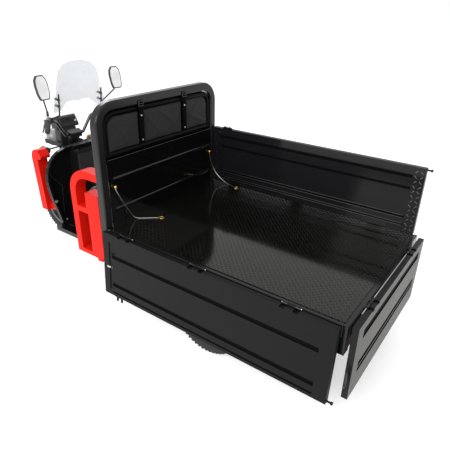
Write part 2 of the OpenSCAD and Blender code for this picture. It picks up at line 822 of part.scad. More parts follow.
bed_floor();
bed_side_sills();
bed_cross_sills();
bed_ribs();
main_rails();
corner_brackets();
low_rails();
low_crossmembers();
head_tube();
foot_floor();
bulkhead_arch();
bulkhead_panel();
backrest_frame();
backrest_pads();
backrest_straps();
seat_box();
battery();
seat_cushion();
leg_shield();
front_guards();
side_guards();
rear_axle();
drive_motor();
leaf_springs();
rear_mudguards();
tail_lamps();
bed_hinges();
stay_anchors();
stay_cables();
stay_rings();
fork();
handlebar();
grips();
headlamp();
headlamp_lens();
dash();
windscreen();
screen_rods();
mirrors();
mirror_glass();
front_mudguard();
front_indicators();
front_rim();
front_tyre();
rear_rim_left();
rear_tyre_left();
rear_rim_right();
rear_tyre_right();
left_panel();
right_panel();
tailgate_panel();
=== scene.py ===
# %% [markdown]
# # An electric cargo tricycle, dressed in Blender
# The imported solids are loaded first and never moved. Everything that follows
# is placed in the same frame, in metres, so the two models agree.

# %% Load the frame
import json
import math

import bmesh
import bpy
from mathutils import Matrix, Vector


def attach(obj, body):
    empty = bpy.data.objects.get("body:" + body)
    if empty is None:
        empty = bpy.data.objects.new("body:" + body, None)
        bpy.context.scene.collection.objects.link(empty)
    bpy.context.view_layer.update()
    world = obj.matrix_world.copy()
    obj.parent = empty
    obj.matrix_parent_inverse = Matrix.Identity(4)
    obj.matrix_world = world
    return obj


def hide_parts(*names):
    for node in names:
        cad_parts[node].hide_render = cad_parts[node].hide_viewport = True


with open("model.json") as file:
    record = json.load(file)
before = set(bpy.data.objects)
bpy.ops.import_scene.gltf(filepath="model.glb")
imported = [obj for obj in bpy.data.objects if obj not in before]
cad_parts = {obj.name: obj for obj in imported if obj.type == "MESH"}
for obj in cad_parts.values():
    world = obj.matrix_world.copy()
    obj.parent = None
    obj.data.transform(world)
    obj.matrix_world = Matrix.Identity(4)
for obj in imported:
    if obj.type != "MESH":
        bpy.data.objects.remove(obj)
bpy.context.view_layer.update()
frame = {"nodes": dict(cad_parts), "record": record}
nodes = frame["nodes"]

# %% [markdown]
# ## The camera
# A photograph's viewpoint can be solved from edges of known direction. Here
# the bed's corners gave a camera behind the left rear corner, at eye height.
# A turn about Z, a tilt about X and a small roll are applied in that order.

# %% Camera
camera_place = Vector((-1.8807, 2.0338, 1.7894))
camera_turn = math.radians(-144.49)
camera_tilt = math.radians(90 - 26.37)
camera_roll = math.radians(1.03)
camera_data = bpy.data.cameras.new("camera")
camera_data.sensor_width = 36.0
camera_data.lens = 36.1
camera_data.clip_end = 100
camera = bpy.data.objects.new("camera", camera_data)
bpy.context.scene.collection.objects.link(camera)
camera.matrix_world = (
    Matrix.Translation(camera_place)
    @ Matrix.Rotation(camera_turn, 4, "Z")
    @ Matrix.Rotation(camera_tilt, 4, "X")
    @ Matrix.Rotation(camera_roll, 4, "Z")
)
bpy.context.scene.camera = camera
bpy.context.scene.view_settings.view_transform = "Standard"
print("camera at", tuple(camera_place))

# %% [markdown]
# ## Shader maths as Python
# A small class wraps a node's socket, so that a mask can be written as an
# expression. Each operator adds one Math node. Every other node comes from
# one method, which sets the node's options before its sockets.


# %% Sockets and finishes
class Wire:
    """An output socket that Python's operators work on."""

    def __init__(self, finish, socket):
        self.finish = finish
        self.socket = socket

    def _math(self, operation, a, b):
        return self.finish.node("ShaderNodeMath", {"operation": operation}, {0: a, 1: b})

    def __add__(self, other):
        return self._math("ADD", self, other)

    def __radd__(self, other):
        return self._math("ADD", other, self)

    def __sub__(self, other):
        return self._math("SUBTRACT", self, other)

    def __rsub__(self, other):
        return self._math("SUBTRACT", other, self)

    def __mul__(self, other):
        return self._math("MULTIPLY", self, other)

    def __pow__(self, other):
        return self._math("POWER", self.math("ABSOLUTE"), other)

    def math(self, operation, other=0.0):
        return self._math(operation, self, other)


class Finish:
    """A material with one Principled shader, built up by code."""

    def __init__(self, name, **sockets):
        self.material = bpy.data.materials.new(name)
        self.material.use_nodes = True
        self.tree = self.material.node_tree
        self.shader = self.tree.nodes["Principled BSDF"]
        for label, value in sockets.items():
            self.shader.inputs[label.replace("_", " ")].default_value = value

    def node(self, kind, settings=None, sockets=None, out=0):
        made = self.tree.nodes.new(kind)
        for key, value in (settings or {}).items():
            setattr(made, key, value)
        for key, value in (sockets or {}).items():
            self.link(value, made.inputs[key])
        return Wire(self, made.outputs[out])

    def link(self, value, socket):
        if isinstance(value, Wire):
            self.tree.links.new(value.socket, socket)
        else:
            socket.default_value = value

    def feed(self, label, value):
        self.link(value, self.shader.inputs[label])

    def place(self, scale=(1, 1, 1)):
        """Object coordinates, scaled."""
        here = self.node("ShaderNodeTexCoord", out="Object")
        return self.node("ShaderNodeMapping", None, {"Vector": here, "Scale": scale})

    def axes(self):
        """The object's own x, y and z."""
        here = self.node("ShaderNodeTexCoord", out="Object")
        split = self.node("ShaderNodeSeparateXYZ", None, {0: here}).socket.node
        return [Wire(self, split.outputs[k]) for k in range(3)]

    def noise(self, scale, detail, vector=None):
        return self.node("ShaderNodeTexNoise", None,
                         {"Vector": vector or self.place(), "Scale": scale, "Detail": detail})

    def spread(self, wire, low, high, to_low=0.0, to_high=1.0):
        """A value's stretch from low to high, mapped to another stretch."""
        return self.node("ShaderNodeMapRange", {"clamp": True},
                         {"Value": wire, "From Min": low, "From Max": high,
                          "To Min": to_low, "To Max": to_high})

    def mix(self, factor, a, b):
        return self.node("ShaderNodeMix", {"data_type": "RGBA"},
                         {0: factor, 6: a, 7: b}, out=2)

    def bump(self, height, strength, distance):
        self.feed("Normal", self.node("ShaderNodeBump", None,
                  {"Height": height, "Strength": strength, "Distance": distance}))


class Sky(Finish):
    """The world's shader, built up in the same way."""

    def __init__(self, name):
        self.world = bpy.data.worlds.new(name)
        self.world.use_nodes = True
        self.tree = self.world.node_tree
        self.shader = self.tree.nodes["Background"]


def tone(value, tint=(1, 1, 1)):
    """A grey of that value, tinted."""
    return (value * tint[0], value * tint[1], value * tint[2], 1)


def shade(colour, by):
    """A colour made lighter or darker."""
    return tuple(min(1, by * c) for c in colour[:3]) + (1,)


# %% [markdown]
# ## Painted steel
# The bed is sprayed gloss black over pressed sheet. The paint is nearly a
# mirror, so most of what the eye sees in it is the room and the bed itself.
# A faint orange peel and a thin film of dust tell that it is paint.


# %% Paint
def paint(name, colour, dust, dull, level=0.3, peel=0.03):
    finish = Finish(name, Specular_IOR_Level=level)
    cloud = finish.noise(2.3, 5)
    fine = finish.noise(140, 2)
    film = finish.spread(cloud, 0.42, 0.78) * finish.spread(fine, 0.35, 0.7)
    finish.feed("Base Color", finish.mix(film, colour, dust))
    finish.feed("Roughness", finish.spread(cloud, 0.3, 0.75, dull, dull + 0.08))
    finish.height = finish.noise(90, 1) * peel
    return finish


def painted(finish, depth=0.0008):
    finish.bump(finish.height, 1.0, depth)
    return finish.material


black_paint = painted(paint("gloss_black_paint", tone(0.004), tone(0.011), 0.09))
arch_paint = painted(paint("arch_black_paint", tone(0.011), tone(0.018), 0.2, 0.3))
rest_paint = painted(paint("rest_black_paint", tone(0.002), tone(0.006), 0.34, 0.07))
bulkhead_paint = painted(paint("bulkhead_black_paint", tone(0.003), tone(0.008), 0.03,
                               0.42, 0.008))
red_paint = painted(paint("guard_red_paint", (0.72, 0.010, 0.003, 1),
                          (0.74, 0.016, 0.007, 1), 0.3, 0.1))
print("paints", black_paint.name, arch_paint.name, bulkhead_paint.name, red_paint.name)

# %% [markdown]
# ## Grooved sides
# The bed sides have a dull lacquer, which is the shader's coat. A mask from the
# panel's own height, counted down from its hinge, takes the coat away between
# two heights of each groove and paints the groove darker, as painted shade in
# the pressed recess.
# The tailgate's rear face, while it hangs, has a light olive tone of its own,
# a painted warm reflection, which ends at the face's edge.

# %% Grooved sides
hinge_height, hinge_out = 0.588, 0.53
side_lean = math.radians(4)
panel_start, panel_depth = 0.004, 0.4
gate_face, face_edge = -1.4795, 0.001
# The grooves' darker tone is painted shade in the recesses; the edge tone is the tailgate's
# darker paint beyond its face.
groove_painted_shade, edge_tone = tone(0.0025), tone(0.004)


def inside(finish, wire, low, high, edge=0.0006):
    """1 where a value lies from low to high, with a soft edge."""
    return (finish.spread(wire, low - edge, low + edge)
            * finish.spread(wire, high - edge, high + edge, 1, 0))


def side_paint(name, colour, coat, dull, height, run, shares, ends, tint=(1, 1, 1), face=None):
    """Lacquered paint with grooves at shares of the panel's depth, painted darker there as
    shade.
    """
    finish = Finish(name, Specular_IOR_Level=0.04, Coat_Roughness=dull, Coat_Tint=(*tint, 1))
    x, y, z = finish.axes()
    down, along = height(x, y, z), run(x, y, z)
    cut = sum((inside(finish, down, *(panel_start + panel_depth * share for share in groove))
               for groove in shares), 0.0)
    cut = cut * inside(finish, along, *ends)
    cloud = finish.noise(2.3, 5)
    plain = finish.mix(cloud, colour, shade(colour, 1.2))
    # On the face the given colour holds, which for the tailgate is a painted reflection; past
    # its edge comes the darker edge tone.
    if face is not None:
        plain = finish.mix(finish.spread(x, face, face + face_edge), plain, edge_tone)
    # In the grooves the colour turns darker: painted shade in the recesses.
    finish.feed("Base Color", finish.mix(cut, plain, groove_painted_shade))
    finish.feed("Roughness", finish.spread(cloud, 0.3, 0.75, 0.4, 0.5) + cut * 0.4)
    lacquer = finish.spread(cloud, 0.2, 0.8, coat, coat * 0.85)
    finish.feed("Coat Weight", (1 - cut * 0.9) * lacquer)
    finish.bump(finish.noise(90, 1), 0.05, 0.0008)
    return finish.material


def down_left(x, y, z):
    """Distance down the left side, which hangs at a lean."""
    return (hinge_height - z) * math.cos(side_lean) + (y - hinge_out) * math.sin(side_lean)


left_paint = side_paint(
    "left_side_paint", tone(0.007), 0.16, 0.3,
    down_left, lambda x, y, z: x,
    [(0.315, 0.375), (0.78, 0.84), (0.93, 0.955)], (-1.343, -0.031))
# The tailgate's light olive tone is a painted warm reflection on its hanging face.
gate_reflection_paint = side_paint(
    "tailgate_reflection_paint", tone(0.076, (1, 0.98, 0.84)), 0.4, 0.4,
    lambda x, y, z: hinge_height - z, lambda x, y, z: y,
    [(0.12, 0.24), (0.57, 0.64), (0.66, 0.72)], (-0.43, 0.43), face=gate_face)
right_paint = side_paint(
    "right_side_paint", tone(0.006, (1, 1, 1.15)), 0.42, 0.09,
    lambda x, y, z: z - hinge_height, lambda x, y, z: x,
    [(0.095, 0.125), (0.21, 0.255), (0.66, 0.70), (0.83, 0.88)], (-1.345, -0.025),
    (0.94, 0.96, 1))
print("sides", left_paint.name, gate_reflection_paint.name, right_paint.name)

# %% [markdown]
# ## Chequer plate
# The floor is rolled with raised lozenges that lean left and right by turns.
# The plate is cut into square cells at 45 degrees. In each cell a long
# ellipse lies along one diagonal or the other, and its edge is softened, so
# that one height map serves the bump.

# %% Chequer plate
lozenge_pitch, lozenge_long, lozenge_thin = 0.021, 2.3, 6.5
half_root_two = 0.7071


def chequer(finish):
    """Height of the lozenges over the object's x and y, 0 to 1."""
    x, y, _ = finish.axes()
    u = (x + y) * (half_root_two / lozenge_pitch)
    v = (x - y) * (half_root_two / lozenge_pitch)
    u_cell, v_cell = u.math("FLOOR"), v.math("FLOOR")
    du, dv = u - u_cell - 0.5, v - v_cell - 0.5
    odd = (u_cell + v_cell).math("FLOORED_MODULO", 2.0)
    along = (du * lozenge_long) ** 2 + (dv * lozenge_thin) ** 2
    beside = (du * lozenge_thin) ** 2 + (dv * lozenge_long) ** 2
    return finish.spread(along * (1 - odd) + beside * odd, 0.5, 1.1, 1, 0)


# The floor paint's warm olive tint, in its base, its dust and its Specular Tint, is a painted
# warm reflection.
floor_finish = paint("floor_black_paint", tone(0.001, (1, 1, 0.9)),
                     tone(0.003, (1.02, 1, 0.86)), 0.06, 0.4, 0.02)
floor_finish.shader.inputs["Specular Tint"].default_value = (1, 1, 0.86, 1)
floor_finish.height = floor_finish.height + chequer(floor_finish)
floor_paint = painted(floor_finish, 0.0022)
print("chequer plate on", floor_paint.name)

# %% [markdown]
# ## Metals
# Chrome, zinc, brass and cast alloy share one recipe: full metallic, with
# roughness that changes along fine streaks or specks, and darker stains.


# %% Metals
def metal(name, colour, dull, streak=(1, 1, 1), scale=60, change=0.12):
    finish = Finish(name, Metallic=1.0)
    grain = finish.noise(scale, 4, finish.place(streak))
    stain = finish.noise(9, 4)
    finish.feed("Base Color", finish.mix(finish.spread(stain, 0.45, 0.8, 0, 0.5), colour,
                                         shade(colour, 0.55)))
    finish.feed("Roughness", finish.spread(grain, 0.3, 0.7, dull, dull + change))
    finish.bump(grain, 0.08, 0.0004)
    return finish.material


chrome = metal("chrome", tone(0.72, (1, 1.01, 1.03)), 0.06, change=0.08)
bar_chrome = metal("bar_chrome", tone(0.09), 0.2, change=0.08)
# A light metal for the bare worn rear lozenges, and for thin beads whose light tone is a
# painted highlight line.
wear_and_highlight_metal = metal("wear_and_highlight_metal", tone(0.15), 0.3)
steel = metal("zinc_steel", tone(0.52), 0.24, (1, 8, 8))
dark_steel = metal("blacked_steel", tone(0.035), 0.35)
brass = metal("brass", (0.72, 0.47, 0.15, 1), 0.2)
alloy = metal("cast_alloy", tone(0.5), 0.34, scale=200)
rim_alloy = metal("rim_alloy", (0.13, 0.12, 0.105, 1), 0.32, scale=200)
iron = metal("axle_iron", tone(0.055), 0.55, scale=300)
mirror = metal("mirror_glass", tone(0.9, (0.99, 0.99, 1.01)), 0.015, change=0.01)
print("metals", chrome.name, steel.name, brass.name)

# %% [markdown]
# ## Plastics, rubber and clear parts
# Moulded plastic has a fine grain, rubber is dull with a pale bloom, and the
# screen is clear sheet with a cold tint. Alpha stands for its clearness, so
# that the thin sheet doesn't bend what is behind it.


# %% Plastics, rubber, clear parts
def moulded(name, colour, dull, grain=420, depth=0.0005, bloom=1.6, level=0.5):
    finish = Finish(name, Specular_IOR_Level=level)
    patch = finish.noise(6, 4)
    finish.feed("Base Color", finish.mix(finish.spread(patch, 0.4, 0.8), colour,
                                         shade(colour, bloom)))
    finish.feed("Roughness", finish.spread(patch, 0.3, 0.7, dull, dull + 0.12))
    finish.bump(finish.noise(grain, 2), 0.25, depth)
    return finish.material


gloss_plastic = moulded("gloss_black_plastic", tone(0.005), 0.18, depth=0.0001, level=0.25)
black_plastic = moulded("grained_black_plastic", tone(0.014), 0.42)
grey_plastic = moulded("dark_grey_plastic", tone(0.05), 0.45)
white_plastic = moulded("lamp_shell_grey", tone(0.3), 0.25, depth=0.0001, bloom=1.05)
grip_rubber = moulded("grip_rubber", tone(0.018), 0.62, 160, 0.0012)
tyre_rubber = moulded("tyre_rubber", tone(0.012), 0.7, 320, 0.0008, 2.0)
red_lens = moulded("red_lens", (0.5, 0.01, 0.012, 1), 0.1, depth=0.00005)
amber_lens = moulded("amber_lens", (0.9, 0.28, 0.02, 1), 0.1, depth=0.00005, bloom=1.05)
lid_face = 0.7535


def shield(name):
    """Gloss plastic, with a dull grained glovebox on it."""
    finish = Finish(name, Specular_IOR_Level=0.12)
    x, _, _ = finish.axes()
    lid = finish.spread(x, lid_face, lid_face + 0.001, 1, 0)
    patch = finish.noise(6, 4)
    plain = finish.mix(patch, tone(0.004), tone(0.008))
    finish.feed("Base Color", finish.mix(lid, plain, tone(0.035)))
    finish.feed("Roughness", finish.spread(patch, 0.3, 0.7, 0.18, 0.26) + lid * 0.3)
    finish.bump(finish.noise(420, 2) * (lid + 0.2), 0.25, 0.0004)
    return finish.material


shield_plastic = shield("shield_plastic")


def clear(name, colour, see):
    finish = Finish(name, IOR=1.3)
    haze = finish.noise(7, 4)
    finish.feed("Base Color", finish.mix(haze, colour, tone(0.95)))
    finish.feed("Roughness", finish.spread(haze, 0.3, 0.7, 0.03, 0.07))
    finish.feed("Alpha", finish.spread(haze, 0.35, 0.7, see, see + 0.06))
    return finish.material


screen_clear = clear("screen_clear", (0.6, 0.72, 0.86, 1), 0.3)
lens_clear = clear("lens_clear", (0.9, 0.93, 0.97, 1), 0.35)
print("plastics", black_plastic.name, tyre_rubber.name)

# %% [markdown]
# ## Cloth and seat cover
# The backrest is a coarse woven cloth. Two wave textures at right angles make
# the threads, and a thread stands up where the one across it dips. The seat
# is vinyl, whose grain is a cell pattern.


# %% Cloth and vinyl
def woven(name, colour, thread, level=0.3, sheen=0.1):
    finish = Finish(name, Specular_IOR_Level=level, Sheen_Weight=sheen, Sheen_Roughness=0.5)
    rows, columns = (
        finish.node("ShaderNodeTexWave", {"bands_direction": way},
                    {"Vector": finish.place(), "Scale": thread, "Distortion": 0.6}, out=1)
        for way in ("Z", "Y"))
    thread_height = rows * (1 - columns) + columns * (1 - rows)
    worn = finish.noise(5, 5)
    finish.feed("Base Color", finish.mix(finish.spread(worn, 0.3, 0.75), colour,
                                         shade(colour, 1.5)))
    finish.feed("Roughness", finish.spread(worn, 0.3, 0.7, 0.68, 0.85))
    finish.bump(thread_height, 0.35, 0.0012)
    return finish.material


pad_cloth = woven("pad_cloth", tone(0.008, (1, 1.01, 1.03)), 95)
strap_web = woven("strap_web", tone(0.002), 160, 0.04, 0.0)


def vinyl(name, colour):
    finish = Finish(name)
    cells = finish.node("ShaderNodeTexVoronoi", {"feature": "DISTANCE_TO_EDGE"},
                        {"Vector": finish.place(), "Scale": 260})
    shine = finish.noise(8, 3)
    finish.feed("Base Color", finish.mix(finish.spread(shine, 0.35, 0.8), colour,
                                         shade(colour, 1.8)))
    finish.feed("Roughness", finish.spread(shine, 0.3, 0.7, 0.38, 0.52))
    finish.bump(finish.spread(cells, 0, 0.2), 0.3, 0.0008)
    return finish.material


seat_vinyl = vinyl("seat_vinyl", tone(0.013))
print("cloth", pad_cloth.name, strap_web.name, seat_vinyl.name)

# %% [markdown]
# ## Dress the solids
# Each solid takes the finish of its slot. Folded and pressed sheet has no
# knife edges, so the boxy pieces get a weld, which joins the loose triangles,
# and a small bevel.

# %% Finishes by slot
slot_finish = {
    "black_paint": black_paint, "floor_paint": floor_paint, "red_paint": red_paint,
    "steel": steel, "chrome": chrome, "alloy": alloy, "iron": iron, "brass": brass,
    "tyre": tyre_rubber, "grip_rubber": grip_rubber, "pad_fabric": pad_cloth,
    "seat_cover": seat_vinyl, "black_plastic": black_plastic,
    "gloss_plastic": gloss_plastic, "white_plastic": white_plastic,
    "grey_plastic": grey_plastic, "red_lens": red_lens, "clear": screen_clear,
    "mirror": mirror,
}
for entry in frame["record"]["subparts"]:
    dressed = nodes[entry["node"]]
    dressed.data.materials.clear()
    dressed.data.materials.append(slot_finish[entry["material_slot"]])
own_finish = {
    "headlamp_lens": lens_clear, "backrest_straps": strap_web, "bed_hinges": black_paint,
    "backrest_frame": rest_paint, "bulkhead_panel": bulkhead_paint,
    "right_panel": right_paint, "left_panel": left_paint, "tailgate_panel": gate_reflection_paint,
    "bulkhead_arch": arch_paint, "fork": dark_steel, "handlebar": bar_chrome,
    "front_rim": rim_alloy, "rear_rim_left": rim_alloy, "rear_rim_right": rim_alloy,
    "leg_shield": shield_plastic,
}
for name, finish in own_finish.items():
    nodes[name].data.materials[0] = finish

edge_radius = {
    "left_panel": 0.004, "right_panel": 0.004, "tailgate_panel": 0.004,
    "bed_side_sills": 0.003, "corner_brackets": 0.003,
    "front_guards": 0.003, "dash": 0.008, "leg_shield": 0.002,
    "seat_box": 0.003, "foot_floor": 0.0015, "low_rails": 0.003, "main_rails": 0.003,
    "bulkhead_panel": 0.0015, "tail_lamps": 0.006,
}
for name, radius in edge_radius.items():
    weld = nodes[name].modifiers.new("weld", "WELD")
    weld.merge_threshold = 0.00001
    rounding = nodes[name].modifiers.new("soft_edges", "BEVEL")
    rounding.width = radius
    rounding.segments = 2
    rounding.limit_method = "ANGLE"
    rounding.angle_limit = math.radians(40)

# %% [markdown]
# ## The stage
# The photograph's background is plain white. Light Path tells a shader which
# ray asks: the camera and reflections see white, while the light that falls
# on the object keeps a plain level. The floor only adds a little white of its
# own for them, so the object's shadow still darkens it.

# %% Stage
floor_mesh = bpy.data.meshes.new("studio_floor")
bm = bmesh.new()
bmesh.ops.create_grid(bm, x_segments=1, y_segments=1, size=40)
bm.to_mesh(floor_mesh)
bm.free()
floor = bpy.data.objects.new("studio_floor", floor_mesh)
bpy.context.scene.collection.objects.link(floor)
floor_glow, sky_fill = 0.5, 0.75


def seen_ray(finish):
    """1 for a ray from the camera, a reflection or a clear sheet."""
    camera_ray, glossy_ray, clear_ray = (
        finish.node("ShaderNodeLightPath", out=label)
        for label in ("Is Camera Ray", "Is Glossy Ray", "Is Transmission Ray"))
    return camera_ray.math("MAXIMUM", glossy_ray).math("MAXIMUM", clear_ray)


ground = Finish("studio_floor", Base_Color=tone(0.8), Roughness=0.9,
                Emission_Strength=floor_glow)
ground.feed("Emission Color", seen_ray(ground))
floor_mesh.materials.append(ground.material)
sky = Sky("studio")
sky.feed("Color", sky.spread(seen_ray(sky), 0, 1, sky_fill, 1))
bpy.context.scene.world = sky.world


def softbox(name, place, target, size, power):
    data = bpy.data.lights.new(name, "AREA")
    data.shape = "RECTANGLE"
    data.size, data.size_y = size
    data.energy = power
    lamp = bpy.data.objects.new(name, data)
    bpy.context.scene.collection.objects.link(lamp)
    turn = (Vector(target) - Vector(place)).to_track_quat("-Z", "Y")
    lamp.matrix_world = Matrix.Translation(place) @ turn.to_matrix().to_4x4()


softbox("lamp_left", (-0.6, 4.0, 3.0), (0.1, 0, 0.6), (2.6, 2.0), 150)
softbox("lamp_front", (3.6, -1.6, 3.6), (-0.3, 0, 0.6), (2.4, 2.0), 70)
print("stage ready")

# %% [markdown]
# ## Helpers for new pieces
# New pieces grow from mesh operators. A section is spun about an axis, a cube
# is bevelled, and a small fastener is repeated along a list of places. Each
# finished piece names the body it rides and the solids it stands for.


# %% Helpers
def add_piece(name, bm, finish, body, replaced=(), sharp=35):
    mesh = bpy.data.meshes.new(name)
    bm.to_mesh(mesh)
    bm.free()
    mesh.materials.append(finish)
    mesh.shade_smooth()
    mesh.set_sharp_from_angle(angle=math.radians(sharp))
    piece = bpy.data.objects.new(name, mesh)
    bpy.context.scene.collection.objects.link(piece)
    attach(piece, body)
    if replaced:
        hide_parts(*replaced)
    print(name, len(mesh.polygons), "faces")
    return piece


def aim(place, way=(0, 0, 1)):
    """A frame at a place, with its Z along a direction."""
    return Matrix.Translation(place) @ Vector(way).to_track_quat("Z", "Y").to_matrix().to_4x4()


def lathe(bm, outline, place, steps=48, closed=True):
    """Spin a section of (radius, height) points about the place's Z."""
    before = set(bm.verts)
    knots = [bm.verts.new((r, 0, t)) for r, t in outline]
    pairs = list(zip(knots, knots[1:])) + ([(knots[-1], knots[0])] if closed else [])
    edges = [bm.edges.new(pair) for pair in pairs]
    bmesh.ops.spin(bm, geom=knots + edges, cent=(0, 0, 0), axis=(0, 0, 1),
                   angle=2 * math.pi, steps=steps, use_merge=True)
    made = [vert for vert in bm.verts if vert not in before]
    bmesh.ops.remove_doubles(bm, verts=made, dist=0.00001)
    made = [vert for vert in bm.verts if vert not in before]
    faces = list({face for vert in made for face in vert.link_faces})
    bmesh.ops.recalc_face_normals(bm, faces=faces)
    bmesh.ops.transform(bm, matrix=place, verts=made)


def block(bm, size, place, round_by=0.0, segments=2):
    """A bevelled box about the place's origin."""
    shape = place @ Matrix.Diagonal((*size, 1))
    made = bmesh.ops.create_cube(bm, size=1, matrix=shape)["verts"]
    if round_by:
        edges = list({edge for vert in made for edge in vert.link_edges})
        bmesh.ops.bevel(bm, geom=edges, offset=round_by, segments=segments,
                        affect="EDGES", profile=0.5, material=-1)


def bolt(bm, place, way, radius):
    """A washer with a hexagon head on it."""
    seat, washer = aim(place, way), 0.0014
    for sides, low, high, depth, lift in (
            (24, 1.7 * radius, 1.6 * radius, 0.0016, 0.0006),
            (6, radius, radius, 0.7 * radius, washer + 0.35 * radius),
            (12, 0.86 * radius, 0.7 * radius, 0.2 * radius, washer + 0.78 * radius)):
        bmesh.ops.create_cone(bm, cap_ends=True, segments=sides, radius1=low, radius2=high,
                              depth=depth, matrix=seat @ Matrix.Translation((0, 0, lift)))


def rivet(bm, place, way, radius, flat):
    """A low dome."""
    bmesh.ops.create_uvsphere(bm, u_segments=20, v_segments=10, radius=radius,
                              matrix=aim(place, way) @ Matrix.Diagonal((1, 1, flat, 1)))


# %% [markdown]
# ## Tyres
# A road tyre is one closed section spun about the axle: beads inside the
# rim's flanges, a round sidewall, and a crown cut by grooves. The shoulder
# lugs are small blocks set around the edge by a loop.

# %% Tyres
crown, crown_curve = 0.2396, 5.0
groove_half, groove_foot, groove_depth = 0.0022, 0.0014, 0.0042
tyre_steps, lug_count = 112, 56
lug_size, lug_lean = (0.006, 0.0125, 0.017), math.radians(36)


def tread(t):
    """Radius of the crown at a distance from its middle."""
    return crown - crown_curve * t * t


tyre_half = [(0.1528, 0.036), (0.166, 0.0366), (0.1715, 0.0444), (0.188, 0.047),
             (0.204, 0.0466), (0.217, 0.0432), (0.2262, 0.038), (tread(0.0335), 0.0335)]
tread_line = []
for groove in (0.0265, 0.0165, 0.0055, -0.0055, -0.0165, -0.0265):
    deep = tread(groove) - groove_depth
    tread_line += [(tread(groove + groove_half), groove + groove_half),
                   (deep, groove + groove_foot), (deep, groove - groove_foot),
                   (tread(groove - groove_half), groove - groove_half)]
tyre_outline = tyre_half + tread_line + [(r, -t) for r, t in reversed(tyre_half)]
wheel_places = {
    "front_tyre": ("front_wheel", (1.230, 0.0, 0.24)),
    "rear_tyre_left": ("rear_wheel_left", (-0.645, 0.435, 0.24)),
    "rear_tyre_right": ("rear_wheel_right", (-0.645, -0.435, 0.24)),
}
for name, (body, middle) in wheel_places.items():
    bm = bmesh.new()
    axle = aim(middle, (0, 1, 0))
    lathe(bm, tyre_outline, axle, tyre_steps)
    for side in (-1, 1):
        before = set(bm.verts)
        lean = Matrix.Rotation(side * lug_lean, 4, "Y")
        first = Matrix.Rotation(side * math.pi / tyre_steps, 4, "Z")
        shoulder = Matrix.Translation((0.2252, 0, side * 0.0356))
        block(bm, lug_size, axle @ first @ shoulder @ lean, 0.0012, 1)
        lug = [vert for vert in bm.verts if vert not in before]
        edges = list({edge for vert in lug for edge in vert.link_edges})
        faces = list({face for vert in lug for face in vert.link_faces})
        bmesh.ops.spin(bm, geom=lug + edges + faces, cent=middle, axis=(0, 1, 0),
                       angle=2 * math.pi * (lug_count - 1) / lug_count, steps=lug_count - 1,
                       use_duplicate=True)
    add_piece(name + "_tread", bm, tyre_rubber, body, [name], 30)

# %% [markdown]
# ## Wheel fittings
# Four nuts hold each rear wheel, a pressed cap closes its hub, and a rubber
# valve stands in every rim.

# %% Wheel fittings
hub_face, nut_ring, nut_radius, cap_face = 0.016, 0.058, 0.009, 0.042
for name, (body, middle) in wheel_places.items():
    bm = bmesh.new()
    side = -1 if middle[1] < 0 else 1
    out = Vector((0, side, 0))
    face = Vector(middle) + hub_face * out
    for k in range(4):
        a = math.pi / 2 * k + math.pi / 4
        bolt(bm, face + nut_ring * Vector((math.cos(a), 0, math.sin(a))), out, nut_radius)
    if middle[1]:
        lathe(bm, [(0, 0.011), (0.012, 0.0102), (0.022, 0.0072), (0.027, 0.0025),
                   (0.0285, 0), (0, 0)], aim(Vector(middle) + cap_face * out, out), 32, False)
    add_piece(body + "_fittings", bm, chrome, body)
    bm = bmesh.new()
    foot = Vector(middle) + Vector((-0.1405, side * 0.026, 0))
    lathe(bm, [(0, 0.034), (0.0028, 0.034), (0.0028, 0.02), (0.0042, 0.019),
               (0.0048, 0.0), (0, 0)], aim(foot, (0.9, side * 0.35, 0)), 16, False)
    add_piece(body + "_valve", bm, black_plastic, body)

# %% [markdown]
# ## Padding
# A cushion is cloth under pressure. Each pad starts as a slightly smaller
# block with its outline rounded, is remeshed into even quads, and is blown up
# by the cloth solver with gravity off. No point may move past a cap, and the
# solver's shape is then made the mesh. Sewn seams come last, as grooves, and
# the slack cloth of the backrest gets a few soft folds.

# %% Padding
quad_size, air_pressure, cloth_frames = 0.006, 4.0, 20


def inflate(piece, cap, held=None):
    """Blow a closed mesh up as cloth; held(point) is 1 where it rests."""
    remesh = piece.modifiers.new("even_quads", "REMESH")
    remesh.mode = "VOXEL"
    remesh.voxel_size = quad_size
    bpy.context.view_layer.update()
    graph = bpy.context.evaluated_depsgraph_get()
    even = bpy.data.meshes.new_from_object(piece.evaluated_get(graph))
    piece.modifiers.clear()
    piece.data = even
    start = [vert.co.copy() for vert in even.vertices]
    group = piece.vertex_groups.new(name="held")
    for vert in even.vertices:
        group.add([vert.index], held(vert.co) if held else 0.0, "REPLACE")
    cloth = piece.modifiers.new("cloth", "CLOTH")
    cloth.settings.use_pressure = True
    cloth.settings.uniform_pressure_force = air_pressure
    cloth.settings.effector_weights.gravity = 0
    cloth.settings.vertex_group_mass = "held"
    scene = bpy.context.scene
    for step in range(1, cloth_frames + 1):
        scene.frame_set(step)
    graph = bpy.context.evaluated_depsgraph_get()
    blown = bpy.data.meshes.new_from_object(piece.evaluated_get(graph))
    for vert, before in zip(blown.vertices, start):
        move = vert.co - before
        if move.length > cap:
            vert.co = before + move * (cap / move.length)
    piece.modifiers.clear()
    piece.vertex_groups.clear()
    piece.data = blown
    scene.frame_set(1)


def sew(piece, depth, width, gap):
    """Press a groove where gap(point) is near 0."""
    for vert in piece.data.vertices:
        share = math.exp(-(gap(vert.co) / width) ** 2)
        vert.co -= vert.normal * depth * share


def crease(piece, folds, height, width):
    """Raise a soft fold along each line, given by two points in Y and Z."""
    for vert in piece.data.vertices:
        here = vert.co.yz
        for start, end in folds:
            line, reach = Vector(end) - Vector(start), here - Vector(start)
            share = max(0, min(1, reach.dot(line) / line.length_squared))
            off = (reach - line * share).length / width
            vert.co += vert.normal * height * math.sin(math.pi * share) * math.exp(-off * off)


